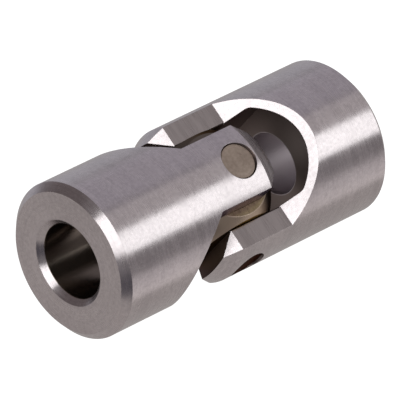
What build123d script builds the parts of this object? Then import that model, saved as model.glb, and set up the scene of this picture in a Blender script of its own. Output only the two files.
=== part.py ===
from build123d import *
import math
import os

# Single cardan joint of the pin-and-block kind, with plain bearings, for 12 mm shafts.
# Frame: origin where the two pin axes cross, +X along the joint towards fork B,
# long pin (fork A) along Z, short pins (fork B) along Y. Millimetres.

# Overall size
OUTER_DIAMETER = 25.0
JOINT_LENGTH = 56.0
BORE_DIAMETER = 12.0
BORE_DEPTH = 12.0
WEB_HOLE_DIAMETER = 10.0
WEB_HOLE_LEAD = 1.0
HUB_CHAMFER = 1.2
BORE_CHAMFER = 0.9

# Pocket between the two ears of a fork, milled along the axis
POCKET_FLOOR = 15.0
POCKET_WIDTH = 15.3
POCKET_DIAMETER = 22.8
POCKET_CORNER_RADIUS = 1.0

# Ears and the sloping flanks that run them out into the hub
EAR_WIDTH = 11.4
EAR_EDGE_BREAK = 0.15
FLANK_SLOPE = 1.153
FLANK_APEX = 0.45

# Ear tips: outer cone, two side bevels and an inner bevel, all starting near one plane
TIP_REACH = 6.2
TIP_RADIUS = 10.85
TIP_CONE_START = 3.3
TIP_BEVEL_START = 3.4
TIP_INNER_SLOPE = 1.15

# Pins, rivet and centre block
PIN_DIAMETER = 6.0
PIN_LENGTH = 24.2
PIN_EDGE_CHAMFER = 0.2
RIVET_DIAMETER = 2.6
RIVET_HEAD_DIAMETER = 3.8
RIVET_HEAD_DEPTH = 0.6
BLOCK_TURNED_DIAMETER = 20.8
RUNNING_CLEARANCE = 0.03
SIDE_CLEARANCE = 0.05
SHORT_PIN_GAP = 0.5

OUTER_RADIUS = OUTER_DIAMETER / 2
HALF_LENGTH = JOINT_LENGTH / 2
BORE_RADIUS = BORE_DIAMETER / 2
PIN_RADIUS = PIN_DIAMETER / 2
PIN_END = PIN_LENGTH / 2
RIVET_RADIUS = RIVET_DIAMETER / 2
RIVET_HEAD_RADIUS = RIVET_HEAD_DIAMETER / 2
EAR_HALF_WIDTH = EAR_WIDTH / 2
POCKET_HALF_WIDTH = POCKET_WIDTH / 2
BLOCK_SIDE = POCKET_WIDTH - 2 * SIDE_CLEARANCE
SHORT_PIN_INNER_END = PIN_RADIUS + SHORT_PIN_GAP
BEYOND = OUTER_RADIUS + 1
TOLERANCE = 1e-6


def turned(outline):
    """Solid of revolution about X from (x, radius) points."""
    return revolve(Plane.XY * make_face(Polyline(*outline, close=True)), Axis.X)


def bar(radius, start, end, axis):
    """Round bar about X, Y or Z, between two places on that axis."""
    facing = {"X": Plane.YZ, "Y": Plane.ZX, "Z": Plane.XY}[axis]
    return extrude(facing.offset(start) * Circle(radius), end - start)


def fork_blank():
    """Turned hub and ears in one piece, chamfered at the hub end and coned at the ear tips."""
    return turned([
        (-TIP_REACH, 0),
        (-TIP_REACH, TIP_RADIUS),
        (-TIP_CONE_START, OUTER_RADIUS),
        (HALF_LENGTH - HUB_CHAMFER, OUTER_RADIUS),
        (HALF_LENGTH, OUTER_RADIUS - HUB_CHAMFER),
        (HALF_LENGTH, 0),
    ])


def shaft_bore():
    """Bore from the hub end with its mouth chamfer, and the smaller hole through the web."""
    bore_floor = HALF_LENGTH - BORE_DEPTH
    return turned([
        (POCKET_FLOOR - WEB_HOLE_LEAD, 0),
        (POCKET_FLOOR - WEB_HOLE_LEAD, WEB_HOLE_DIAMETER / 2),
        (bore_floor, WEB_HOLE_DIAMETER / 2),
        (bore_floor, BORE_RADIUS),
        (HALF_LENGTH - BORE_CHAMFER, BORE_RADIUS),
        (HALF_LENGTH, BORE_RADIUS + BORE_CHAMFER),
        (HALF_LENGTH, 0),
    ])


def ear_pocket():
    """Flat-walled pocket with round ends, open towards the ear tips."""
    contour = Circle(POCKET_DIAMETER / 2) & Rectangle(POCKET_WIDTH, POCKET_DIAMETER)
    rounded = fillet(contour.vertices(), POCKET_CORNER_RADIUS)
    return extrude(Plane.YZ.offset(-BEYOND) * rounded, BEYOND + POCKET_FLOOR)


def flank_cutter():
    """What is milled off above an ear: tip bevel, side flat and sloping run-out."""
    tip_half_width = EAR_HALF_WIDTH - (BEYOND - TIP_BEVEL_START) / FLANK_SLOPE
    outline = Polyline(
        (-BEYOND, tip_half_width),
        (-TIP_BEVEL_START, EAR_HALF_WIDTH),
        (FLANK_APEX + FLANK_SLOPE * EAR_HALF_WIDTH, EAR_HALF_WIDTH),
        (FLANK_APEX + FLANK_SLOPE * BEYOND, BEYOND),
        (-BEYOND, BEYOND),
        close=True,
    )
    return extrude(Plane.XZ * make_face(outline), BEYOND, both=True)


def tip_inner_cutter():
    """Wedge that bevels the inner side of both ear tips."""
    reach = BEYOND - TIP_BEVEL_START
    half_width = POCKET_HALF_WIDTH + TIP_INNER_SLOPE * reach
    outline = Polyline(
        (-TIP_BEVEL_START, -POCKET_HALF_WIDTH),
        (-TIP_BEVEL_START, POCKET_HALF_WIDTH),
        (-BEYOND, half_width),
        (-BEYOND, -half_width),
        close=True,
    )
    return extrude(Plane.XY * make_face(outline), BEYOND, both=True)


def is_ear_inner_corner(edge):
    """True where an ear's inner wall meets one of its side flats."""
    centre = edge.center()
    on_wall = math.isclose(abs(centre.Y), POCKET_HALF_WIDTH, abs_tol=TOLERANCE)
    return on_wall and math.isclose(abs(centre.Z), EAR_HALF_WIDTH, abs_tol=TOLERANCE)


def make_fork(pin_hole_radius):
    """Fork with its hub towards +X and its ears on the Y axis."""
    fork = fork_blank() - shaft_bore() - ear_pocket() - tip_inner_cutter()
    fork -= flank_cutter()
    fork -= flank_cutter().mirror(Plane.XY)
    fork = chamfer(fork.edges().filter_by(is_ear_inner_corner), EAR_EDGE_BREAK)
    return fork - bar(pin_hole_radius, -BEYOND, BEYOND, "Y")


def make_block():
    """Cube with its corners turned off, bored for the long pin and the two short pins."""
    block = Box(BLOCK_SIDE, BLOCK_SIDE, BLOCK_SIDE) & Sphere(BLOCK_TURNED_DIAMETER / 2)
    block -= bar(PIN_RADIUS, -BEYOND, BEYOND, "Z")
    return block - bar(PIN_RADIUS + RUNNING_CLEARANCE, -BEYOND, BEYOND, "Y")


def make_long_pin():
    """Pin through both ears of fork A, cross-drilled for the rivet."""
    pin = bar(PIN_RADIUS, -PIN_END, PIN_END, "Z")
    pin = chamfer(pin.edges(), PIN_EDGE_CHAMFER)
    return pin - bar(RIVET_RADIUS + RUNNING_CLEARANCE, -BEYOND, BEYOND, "Y")


def make_short_pin():
    """Hollow pin in one ear of fork B, countersunk outside for the rivet's head."""
    pin = bar(PIN_RADIUS, SHORT_PIN_INNER_END, PIN_END, "Y")
    pin = chamfer(pin.edges(), PIN_EDGE_CHAMFER)
    return pin - make_rivet()


def make_rivet():
    """Rivet along Y with a flush cone head at each end."""
    half = turned([
        (0, RIVET_RADIUS),
        (PIN_END - RIVET_HEAD_DEPTH, RIVET_RADIUS),
        (PIN_END, RIVET_HEAD_RADIUS),
        (PIN_END, 0),
        (0, 0),
    ])
    rivet_on_x = half + half.mirror(Plane.YZ)
    return rivet_on_x.rotate(Axis.Z, 90)


fork_a = make_fork(PIN_RADIUS + RUNNING_CLEARANCE).rotate(Axis.Z, 180).rotate(Axis.X, 90)
fork_b = make_fork(PIN_RADIUS)
short_pin = make_short_pin()

parts = {
    "fork_a": fork_a,
    "fork_b": fork_b,
    "cross_block": make_block(),
    "long_pin": make_long_pin(),
    "short_pin_left": short_pin,
    "short_pin_right": short_pin.mirror(Plane.XZ),
    "locking_rivet": make_rivet(),
}

os.makedirs("parts", exist_ok=True)
for name, shape in parts.items():
    export_step(shape, f"parts/{name}.step")
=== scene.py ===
import math
from collections import namedtuple

import bpy
from mathutils import Matrix, Vector


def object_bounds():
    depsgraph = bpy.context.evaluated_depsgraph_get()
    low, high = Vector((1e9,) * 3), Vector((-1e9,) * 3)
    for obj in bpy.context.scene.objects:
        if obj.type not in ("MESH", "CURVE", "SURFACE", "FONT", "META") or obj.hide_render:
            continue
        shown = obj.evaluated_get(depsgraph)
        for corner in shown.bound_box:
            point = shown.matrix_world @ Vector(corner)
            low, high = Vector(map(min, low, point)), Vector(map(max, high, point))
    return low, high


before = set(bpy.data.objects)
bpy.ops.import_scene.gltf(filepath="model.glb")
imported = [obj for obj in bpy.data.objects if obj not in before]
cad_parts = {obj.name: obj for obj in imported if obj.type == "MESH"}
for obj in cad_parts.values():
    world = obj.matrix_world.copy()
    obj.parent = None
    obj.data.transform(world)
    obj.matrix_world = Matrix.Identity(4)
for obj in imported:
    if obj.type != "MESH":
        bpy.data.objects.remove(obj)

cad_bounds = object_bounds()

# The part's frame: the shaft's axis is X, the joint's centre is the origin, and lengths are metres.
MM = 0.001
SHAFT_AXIS = Vector((1, 0, 0))
SHORT_PIN_AXIS = Vector((0, 1, 0))
HUB_END, _, SHAFT_RADIUS = cad_bounds[1]

# Camera: where it stands as seen from the joint, and how far it is turned about its own view axis.
VIEW_AZIMUTH = -164.57
VIEW_ELEVATION = 50.54
VIEW_ROLL = 44.32
VIEW_DISTANCE = 1.0237
VIEW_LENS = 611.3
NEAR_CLIP = 0.05
AIM_POINT = Vector((-0.35, -0.09, -0.3)) * MM

# The floor: the far fork's largest bend in degrees, the room left under it, and the floor's half side.
LARGEST_BEND = 42
FLOOR_GAP = 0.5 * MM
FLOOR_REACH = 6.0

# Finish colours, linear; several of them carry painted shade, reflection or highlight, as noted below.
WHITE = (1, 1, 1, 1)
STEEL = (0.62, 0.555, 0.565, 1)
STEEL_DARK = (0.46, 0.41, 0.42, 1)
MILLED_STEEL = (0.40, 0.352, 0.348, 1)
MILLED_DARK = (0.32, 0.28, 0.277, 1)
# Fork A's side flats: the same milled steel as fork B's, made darker and lavender as painted shade and
# reflection.
MILLED_PAINTED_SHADE = (0.37, 0.325, 0.375, 1)
MILLED_PAINTED_SHADE_DARK = (0.29, 0.25, 0.295, 1)
# The forks' pockets: oil, darkened further by painted shade in the recess.
OIL_AND_SHADE_STEEL = (0.30, 0.245, 0.232, 1)
# The centre block's sides towards +Y and +X: painted shade.
BLOCK_PAINTED_SHADE = (0.12, 0.097, 0.088, 1)
# The bores: fork A's is brown grime darkened further by painted shade; fork B's bore and web hole are grey
# steel in painted shade.
BORE_GRIME_AND_SHADE = (0.25, 0.205, 0.175, 1)
BORE_PAINTED_SHADE = (0.46, 0.40, 0.425, 1)
PIN_STEEL = (0.42, 0.337, 0.283, 1)
PIN_DARK = (0.28, 0.22, 0.18, 1)
SHORT_PIN_BROWN = (0.19, 0.125, 0.095, 1)
SHORT_PIN_DARK = (0.10, 0.063, 0.047, 1)
BRASS_BROWN = (0.42, 0.325, 0.20, 1)
BROWN_DARK = (0.22, 0.165, 0.10, 1)
# Painted highlight on the centre block's turned-off corners.
TURNED_HIGHLIGHT_BROWN = (0.46, 0.36, 0.28, 1)

# Where a finish changes: distances along the shaft, radii, and how far one zone fades into the next.
FADE = 0.1 * MM
POCKET_FLOOR = 15.0 * MM
POCKET_RADIUS = 11.4 * MM
BORE_RADIUS = 6.0 * MM
HOLE_RADIUS = 5.1 * MM
BLOCK_TURNED_RADIUS = 10.3 * MM
# Where painted shade darkens the centre block: across the shaft, and along it.
SHADE_ACROSS = (4.0 * MM, 5.2 * MM)
SHADE_ALONG = (2.5 * MM, 5.5 * MM)

# How a surface faces: the cosines between which one kind of face fades into another.
FACES_IN = (0.05, -0.05)
FACES_END = (0.85, 0.95)
FACES_ASIDE = (0.8, 0.7)
NOT_END = (0.4, 0.3)

# Marks left by the tools: noise scales per metre, how drawn out a streak is, and the shares in a mix.
GRAIN_SCALE = 1900.0
CLOUD_SCALE = 160.0
STREAK_SQUEEZE = 0.06
BROAD_SCALE = 0.16
BROAD_SHARE = 0.5
GRAIN_SHARE = 0.4
CLOUD_SHARE = 0.4
MARK_RANGE = (0.30, 0.70)
MILL_RANGE = (0.38, 0.62)
GLOSS_RANGE = (0.35, 0.65)
GLOSS_SPREAD = 0.15
OILED_ROUGHNESS = 0.45
MARK_DEPTH = 0.02 * MM
EDGE_ROUNDING = 0.08 * MM
QUARTER_TURN = 0.25

# Studio light.
LIGHT_DISTANCE = 1.0
FLOOR_GLOW = 0.9
FLOOR_GREY = (0.45, 0.45, 0.45, 1)

Place = namedtuple("Place", "point along first second radius end_on outward")
Finish = namedtuple("Finish", "bright dark roughness anisotropy groove bump")
Inside = namedtuple("Inside", "milled milled_dark bore bore_roughness")


# ---------------------------------------------------------------- helpers

def direction(azimuth, elevation):
    """Unit vector at an azimuth from +X towards +Y and an elevation above the XY plane, in degrees."""
    a = math.radians(azimuth)
    e = math.radians(elevation)
    return Vector((math.cos(e) * math.cos(a), math.cos(e) * math.sin(a), math.sin(e)))


def facing_matrix(place, target, side):
    """Places something that looks along its own -Z at the target, with its own X nearest to side."""
    back = (place - target).normalized()
    right = (side - back * side.dot(back)).normalized()
    up = back.cross(right)
    matrix = Matrix((right, up, back)).transposed().to_4x4()
    matrix.translation = place
    return matrix


def add_object(name, data):
    made = bpy.data.objects.new(name, data)
    bpy.context.scene.collection.objects.link(made)
    return made


class Shader:
    """A small wrapper round one material's or world's node tree."""

    def __init__(self, tree):
        self.tree = tree
        self.tree.nodes.clear()

    def node(self, kind, **settings):
        made = self.tree.nodes.new(kind)
        for key, value in settings.items():
            setattr(made, key, value)
        return made

    def put(self, socket, value):
        """Links a socket to another one, or gives it a fixed value."""
        if isinstance(value, bpy.types.NodeSocket):
            self.tree.links.new(value, socket)
        else:
            socket.default_value = value

    def fill(self, node, sockets, values):
        for socket, value in zip(sockets, values):
            self.put(node.inputs[socket], value)

    def math(self, operation, a, b=0.0):
        made = self.node("ShaderNodeMath", operation=operation)
        self.fill(made, (0, 1), (a, b))
        return made.outputs[0]

    def both(self, first, *others):
        """Where every one of several masks holds."""
        for other in others:
            first = self.math("MULTIPLY", first, other)
        return first

    def ramp(self, value, low, high, out_low=0.0, out_high=1.0):
        """Goes smoothly from out_low to out_high as the value goes from low to high."""
        made = self.node("ShaderNodeMapRange", interpolation_type="SMOOTHSTEP")
        sockets = ("Value", "From Min", "From Max", "To Min", "To Max")
        self.fill(made, sockets, (value, low, high, out_low, out_high))
        return made.outputs["Result"]

    def blend(self, factor, a, b):
        """Mixes two colours."""
        made = self.node("ShaderNodeMix", data_type="RGBA")
        self.fill(made, (0, 6, 7), (factor, a, b))
        return made.outputs[2]

    def mix(self, factor, a, b):
        """Mixes two numbers."""
        made = self.node("ShaderNodeMix", data_type="FLOAT")
        self.fill(made, (0, 2, 3), (factor, a, b))
        return made.outputs[0]

    def dot(self, first, second):
        products = [self.math("MULTIPLY", a, b) for a, b in zip(first, second)]
        return self.math("ADD", *products)

    def split(self, vector):
        made = self.node("ShaderNodeSeparateXYZ")
        self.put(made.inputs[0], vector)
        return made.outputs

    def join(self, x, y, z):
        made = self.node("ShaderNodeCombineXYZ")
        self.fill(made, (0, 1, 2), (x, y, z))
        return made.outputs[0]

    def noise(self, vector, scale, detail, roughness=0.55):
        made = self.node("ShaderNodeTexNoise")
        self.fill(made, ("Vector", "Scale", "Detail", "Roughness"), (vector, scale, detail, roughness))
        return made.outputs["Fac"]


def new_material(name):
    made = bpy.data.materials.new(name)
    made.use_nodes = True
    return made, Shader(made.node_tree)


def place_of(shader, axis):
    """Where a surface point is about the turning axis, and whether it faces along or away from it."""
    coords = shader.node("ShaderNodeTexCoord")
    position = shader.split(coords.outputs["Object"])
    facing = shader.split(coords.outputs["Normal"])
    lengthwise, *across = {"X": (0, 1, 2), "Y": (1, 2, 0), "Z": (2, 0, 1)}[axis]
    first, second = (position[i] for i in across)
    radius = shader.math("SQRT", shader.dot((first, second), (first, second)))
    outward = shader.math("DIVIDE", shader.dot((first, second), [facing[i] for i in across]), radius)
    end_on = shader.math("ABSOLUTE", facing[lengthwise])
    return Place(coords.outputs["Object"], position[lengthwise], first, second, radius, end_on, outward)


# ---------------------------------------------------------------- materials

def tool_marks(shader, place, groove):
    """Streaks along the turning direction: rings on the round faces and concentric ones on the ends."""
    on_end = shader.ramp(place.end_on, *FACES_END)
    across = shader.mix(on_end, place.along, place.radius)
    drawn_out = [shader.math("MULTIPLY", side, STREAK_SQUEEZE) for side in (place.first, place.second)]
    streaks = shader.join(across, *drawn_out)
    fine = shader.noise(streaks, groove, detail=4.0, roughness=0.6)
    broad = shader.noise(streaks, groove * BROAD_SCALE, detail=2.0)
    return fine, shader.mix(BROAD_SHARE, fine, broad)


def fork_zones(shader, place):
    """Masks for a fork's milled side flats, its bore and web hole, and its pocket, which is darkened by
    oil and by painted shade.
    """
    aside = shader.ramp(place.outward, *FACES_ASIDE)
    flat = shader.both(aside, shader.ramp(place.end_on, *NOT_END))
    inward = shader.ramp(place.outward, *FACES_IN)
    in_bore = shader.both(inward, shader.ramp(place.radius, BORE_RADIUS + FADE, BORE_RADIUS))
    # The pocket: walls and floor darkened by oil and by painted shade.
    within_pocket = shader.ramp(place.radius, POCKET_RADIUS + FADE, POCKET_RADIUS)
    on_floor = shader.both(shader.ramp(place.end_on, *FACES_END), within_pocket)
    wall_or_floor = shader.math("MAXIMUM", inward, on_floor)
    depth = shader.math("ABSOLUTE", place.along)
    above_floor = shader.ramp(depth, POCKET_FLOOR + 2 * FADE, POCKET_FLOOR + FADE)
    past_hole = shader.ramp(place.radius, HOLE_RADIUS, HOLE_RADIUS + FADE)
    return flat, in_bore, shader.both(wall_or_floor, above_floor, past_hole)


def fork_looks(shader, place, marks, colour, gloss, inside):
    """Colour, roughness and grazing tint of a fork, with the zones that differ from its turned outside;
    the pocket and bore colours hold painted shade.
    """
    flat, in_bore, oil_and_shade = fork_zones(shader, place)
    milled = shader.blend(shader.ramp(marks, *MILL_RANGE), inside.milled_dark, inside.milled)
    colour = shader.blend(flat, colour, milled)
    # The bore colour is painted shade, over brown grime on fork A.
    colour = shader.blend(in_bore, colour, inside.bore)
    colour = shader.blend(oil_and_shade, colour, OIL_AND_SHADE_STEEL)
    gloss = shader.mix(in_bore, gloss, inside.bore_roughness)
    gloss = shader.mix(oil_and_shade, gloss, OILED_ROUGHNESS)
    tint = shader.blend(flat, WHITE, inside.milled)
    return colour, gloss, shader.blend(oil_and_shade, tint, OIL_AND_SHADE_STEEL)


def highlight_and_shade_block(shader, place, colour):
    """Paints a highlight on the corners that were turned off, and paints shade on the sides towards +Y and
    +X.
    """
    length = shader.node("ShaderNodeVectorMath", operation="LENGTH")
    shader.put(length.inputs[0], place.point)
    # Painted highlight: the turned-off corners are coloured lighter.
    turned = shader.ramp(length.outputs["Value"], BLOCK_TURNED_RADIUS, BLOCK_TURNED_RADIUS + FADE / 2)
    colour = shader.blend(turned, colour, TURNED_HIGHLIGHT_BROWN)
    # Painted shade on the sides towards +Y and +X.
    across = shader.ramp(place.first, *SHADE_ACROSS)
    along = shader.ramp(place.along, *SHADE_ALONG)
    return shader.blend(shader.math("MAXIMUM", across, along), colour, BLOCK_PAINTED_SHADE)


def marked_normal(shader, height, bump):
    """Shallow relief of the tool marks over edges that are slightly rounded."""
    rounded = shader.node("ShaderNodeBevel", samples=4)
    rounded.inputs["Radius"].default_value = EDGE_ROUNDING
    relief = shader.node("ShaderNodeBump")
    sockets = ("Strength", "Distance", "Height", "Normal")
    shader.fill(relief, sockets, (bump, MARK_DEPTH, height, rounded.outputs[0]))
    return relief.outputs[0]


def turned_metal(name, axis, finish, inside=None, block=False):
    """Metal finished on a lathe; inside is given for a fork, and block is true for the centre block."""
    material, shader = new_material(name)
    place = place_of(shader, axis)
    fine, marks = tool_marks(shader, place, finish.groove)
    grain = shader.noise(place.point, GRAIN_SCALE, detail=2.0)
    cloud = shader.noise(place.point, CLOUD_SCALE, detail=3.0)

    shade = shader.mix(GRAIN_SHARE, marks, grain)
    colour = shader.blend(shader.ramp(shade, *MARK_RANGE), finish.dark, finish.bright)
    polish = shader.mix(CLOUD_SHARE, marks, cloud)
    glossiest = finish.roughness * (1 - GLOSS_SPREAD)
    dullest = finish.roughness * (1 + GLOSS_SPREAD)
    gloss = shader.ramp(polish, *GLOSS_RANGE, glossiest, dullest)
    tint = finish.bright
    if inside:
        colour, gloss, tint = fork_looks(shader, place, marks, colour, gloss, inside)
    if block:
        colour = highlight_and_shade_block(shader, place, colour)

    tangent = shader.node("ShaderNodeTangent", direction_type="RADIAL", axis=axis)
    height = shader.math("ADD", fine, shader.math("MULTIPLY", grain, GRAIN_SHARE))
    bsdf = shader.node("ShaderNodeBsdfPrincipled")
    bsdf.inputs["Metallic"].default_value = 1.0
    bsdf.inputs["Anisotropic"].default_value = finish.anisotropy
    bsdf.inputs["Anisotropic Rotation"].default_value = QUARTER_TURN
    shader.put(bsdf.inputs["Base Color"], colour)
    shader.put(bsdf.inputs["Roughness"], gloss)
    shader.put(bsdf.inputs["Specular Tint"], tint)
    shader.put(bsdf.inputs["Tangent"], tangent.outputs[0])
    shader.put(bsdf.inputs["Normal"], marked_normal(shader, height, finish.bump))
    out = shader.node("ShaderNodeOutputMaterial")
    shader.put(out.inputs["Surface"], bsdf.outputs[0])
    return material


def dress(node, material):
    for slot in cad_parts[node].material_slots:
        slot.material = material


def dress_forks():
    finish = Finish(STEEL, STEEL_DARK, roughness=0.27, anisotropy=0.7, groove=4200.0, bump=0.09)
    # Fork A: milled flats in painted shade and reflection, bore in brown grime with painted shade.
    inside_a = Inside(MILLED_PAINTED_SHADE, MILLED_PAINTED_SHADE_DARK, BORE_GRIME_AND_SHADE, bore_roughness=0.27)
    # Fork B: bore and web hole in painted shade.
    inside_b = Inside(MILLED_STEEL, MILLED_DARK, BORE_PAINTED_SHADE, bore_roughness=0.6)
    dress("fork_a", turned_metal("turned_steel_a_look", "X", finish, inside=inside_a))
    dress("fork_b", turned_metal("turned_steel_b_look", "X", finish, inside=inside_b))


def ground_finish(bright, dark):
    return Finish(bright, dark, roughness=0.3, anisotropy=0.4, groove=2400.0, bump=0.2)


def dress_block_and_pins():
    block_finish = ground_finish(BRASS_BROWN, BROWN_DARK)
    long_pin_finish = ground_finish(PIN_STEEL, PIN_DARK)
    short_pin_finish = ground_finish(SHORT_PIN_BROWN, SHORT_PIN_DARK)
    short_pin_look = turned_metal("short_pin_look", "Y", short_pin_finish)
    dress("cross_block", turned_metal("block_look", "X", block_finish, block=True))
    dress("long_pin", turned_metal("long_pin_look", "Z", long_pin_finish))
    dress("short_pin_left", short_pin_look)
    dress("short_pin_right", short_pin_look)
    dress("locking_rivet", turned_metal("rivet_look", "Y", short_pin_finish))


# ---------------------------------------------------------------- studio

def add_camera():
    towards = direction(VIEW_AZIMUTH, VIEW_ELEVATION)
    level = Vector((0, 0, 1)).cross(towards).normalized()
    side = Matrix.Rotation(math.radians(VIEW_ROLL), 3, towards) @ level
    camera = add_object("camera", bpy.data.cameras.new("camera"))
    camera.data.lens = VIEW_LENS
    camera.data.clip_start = NEAR_CLIP
    camera.matrix_world = facing_matrix(AIM_POINT + towards * VIEW_DISTANCE, AIM_POINT, side)
    bpy.context.scene.camera = camera


def softbox(name, towards, length, width, radiance, tint, side=SHAFT_AXIS):
    """A rectangular light that faces the joint, with its length nearest to the direction given by side."""
    lamp = bpy.data.lights.new(name, "AREA")
    lamp.shape = "RECTANGLE"
    lamp.size = length
    lamp.size_y = width
    lamp.energy = radiance * math.pi * length * width
    lamp.color = tint
    made = add_object(name, lamp)
    made.matrix_world = facing_matrix(towards.normalized() * LIGHT_DISTANCE, Vector(), side)
    made.visible_camera = False


def across_shaft(angle):
    """Where the shaft mirrors the camera's view to, at an angle round the shaft from +Z towards -Y."""
    a = math.radians(angle)
    forward = -direction(VIEW_AZIMUTH, VIEW_ELEVATION).x
    height = math.sqrt(1 - forward * forward)
    return Vector((forward, -height * math.sin(a), height * math.cos(a)))


def add_lights():
    """Four boxes that show as bands along the hubs, and a key that fills the faces towards the camera."""
    key_place = Vector((-0.75, -0.02, 0.66))
    softbox("strip", across_shaft(21), 0.75, 0.46, radiance=1.75, tint=(1, 1.06, 1.05))
    softbox("side", across_shaft(88), 0.8, 0.50, radiance=0.40, tint=(1, 0.98, 0.97))
    softbox("far_side", across_shaft(-60), 0.8, 0.9, radiance=0.2, tint=(0.94, 0.94, 1.14))
    softbox("top", across_shaft(-12), 0.8, 0.42, radiance=0.30, tint=(1, 0.98, 0.98))
    softbox("key", key_place, 0.8, 0.62, radiance=2.3, tint=(1, 1.05, 1.04), side=SHORT_PIN_AXIS)


def room_light(shader, left, up):
    """Grey above the horizon, and lighter below it, cooler on the left of the shaft."""
    above = (0.28, 0.27, 0.275, 1)
    below_warm = (0.48, 0.462, 0.447, 1)
    below_cool = (0.52, 0.53, 0.57, 1)
    below = shader.blend(shader.ramp(left, 0.35, 0.7), below_warm, below_cool)
    return shader.blend(shader.ramp(up, 0.15, -0.25), above, below)


def dark_edges(shader, room, ahead, left, up):
    """Dims the room in front of the near hub: a narrow band on the right and a tall one on the left."""
    right_grey = (0.10, 0.098, 0.115, 1)
    left_brown = (0.17, 0.15, 0.15, 1)
    right_level = 0.07
    off_level = shader.math("ABSOLUTE", shader.math("SUBTRACT", up, right_level))
    right_band = shader.both(shader.ramp(off_level, 0.30, 0.14), shader.ramp(ahead, -0.1, -0.45))
    left_top = shader.ramp(up, 0.52, 0.34)
    left_bottom = shader.ramp(up, -0.72, -0.55)
    left_band = shader.both(left_top, left_bottom, shader.ramp(ahead, 0.1, -0.15))
    right = shader.blend(right_band, room, right_grey)
    on_left = shader.ramp(left, 0.1, 0.4)
    return shader.blend(on_left, right, shader.blend(left_band, room, left_brown))


def add_world():
    world = bpy.data.worlds.new("studio")
    bpy.context.scene.world = world
    world.use_nodes = True
    shader = Shader(world.node_tree)
    ahead, left, up = shader.split(shader.node("ShaderNodeTexCoord").outputs["Generated"])
    background = shader.node("ShaderNodeBackground")
    room = room_light(shader, left, up)
    shader.put(background.inputs["Color"], dark_edges(shader, room, ahead, left, up))
    out = shader.node("ShaderNodeOutputWorld")
    shader.put(out.inputs["Surface"], background.outputs[0])


def white_floor():
    """Pale and matt, and glowing enough to come out white."""
    material, shader = new_material("floor_white")
    glow = shader.node("ShaderNodeEmission")
    glow.inputs["Strength"].default_value = FLOOR_GLOW
    matt = shader.node("ShaderNodeBsdfDiffuse")
    matt.inputs["Color"].default_value = FLOOR_GREY
    added = shader.node("ShaderNodeAddShader")
    shader.fill(added, (0, 1), (glow.outputs[0], matt.outputs[0]))
    out = shader.node("ShaderNodeOutputMaterial")
    shader.put(out.inputs["Surface"], added.outputs[0])
    return material


def add_floor():
    """A square that the far fork clears when it is bent down. It doesn't show in the metal."""
    bend = math.radians(LARGEST_BEND)
    level = -(HUB_END * math.sin(bend) + SHAFT_RADIUS * math.cos(bend)) - FLOOR_GAP
    corner_signs = ((-1, -1), (1, -1), (1, 1), (-1, 1))
    corners = [(x * FLOOR_REACH, y * FLOOR_REACH, level) for x, y in corner_signs]
    sheet = bpy.data.meshes.new("floor")
    sheet.from_pydata(corners, [], [(0, 1, 2, 3)])
    sheet.materials.append(white_floor())
    floor = add_object("floor", sheet)
    floor.visible_glossy = False


def set_view():
    view = bpy.context.scene.view_settings
    view.view_transform = "Standard"
    view.look = "None"


dress_forks()
dress_block_and_pins()
add_camera()
add_lights()
add_world()
add_floor()
set_view()
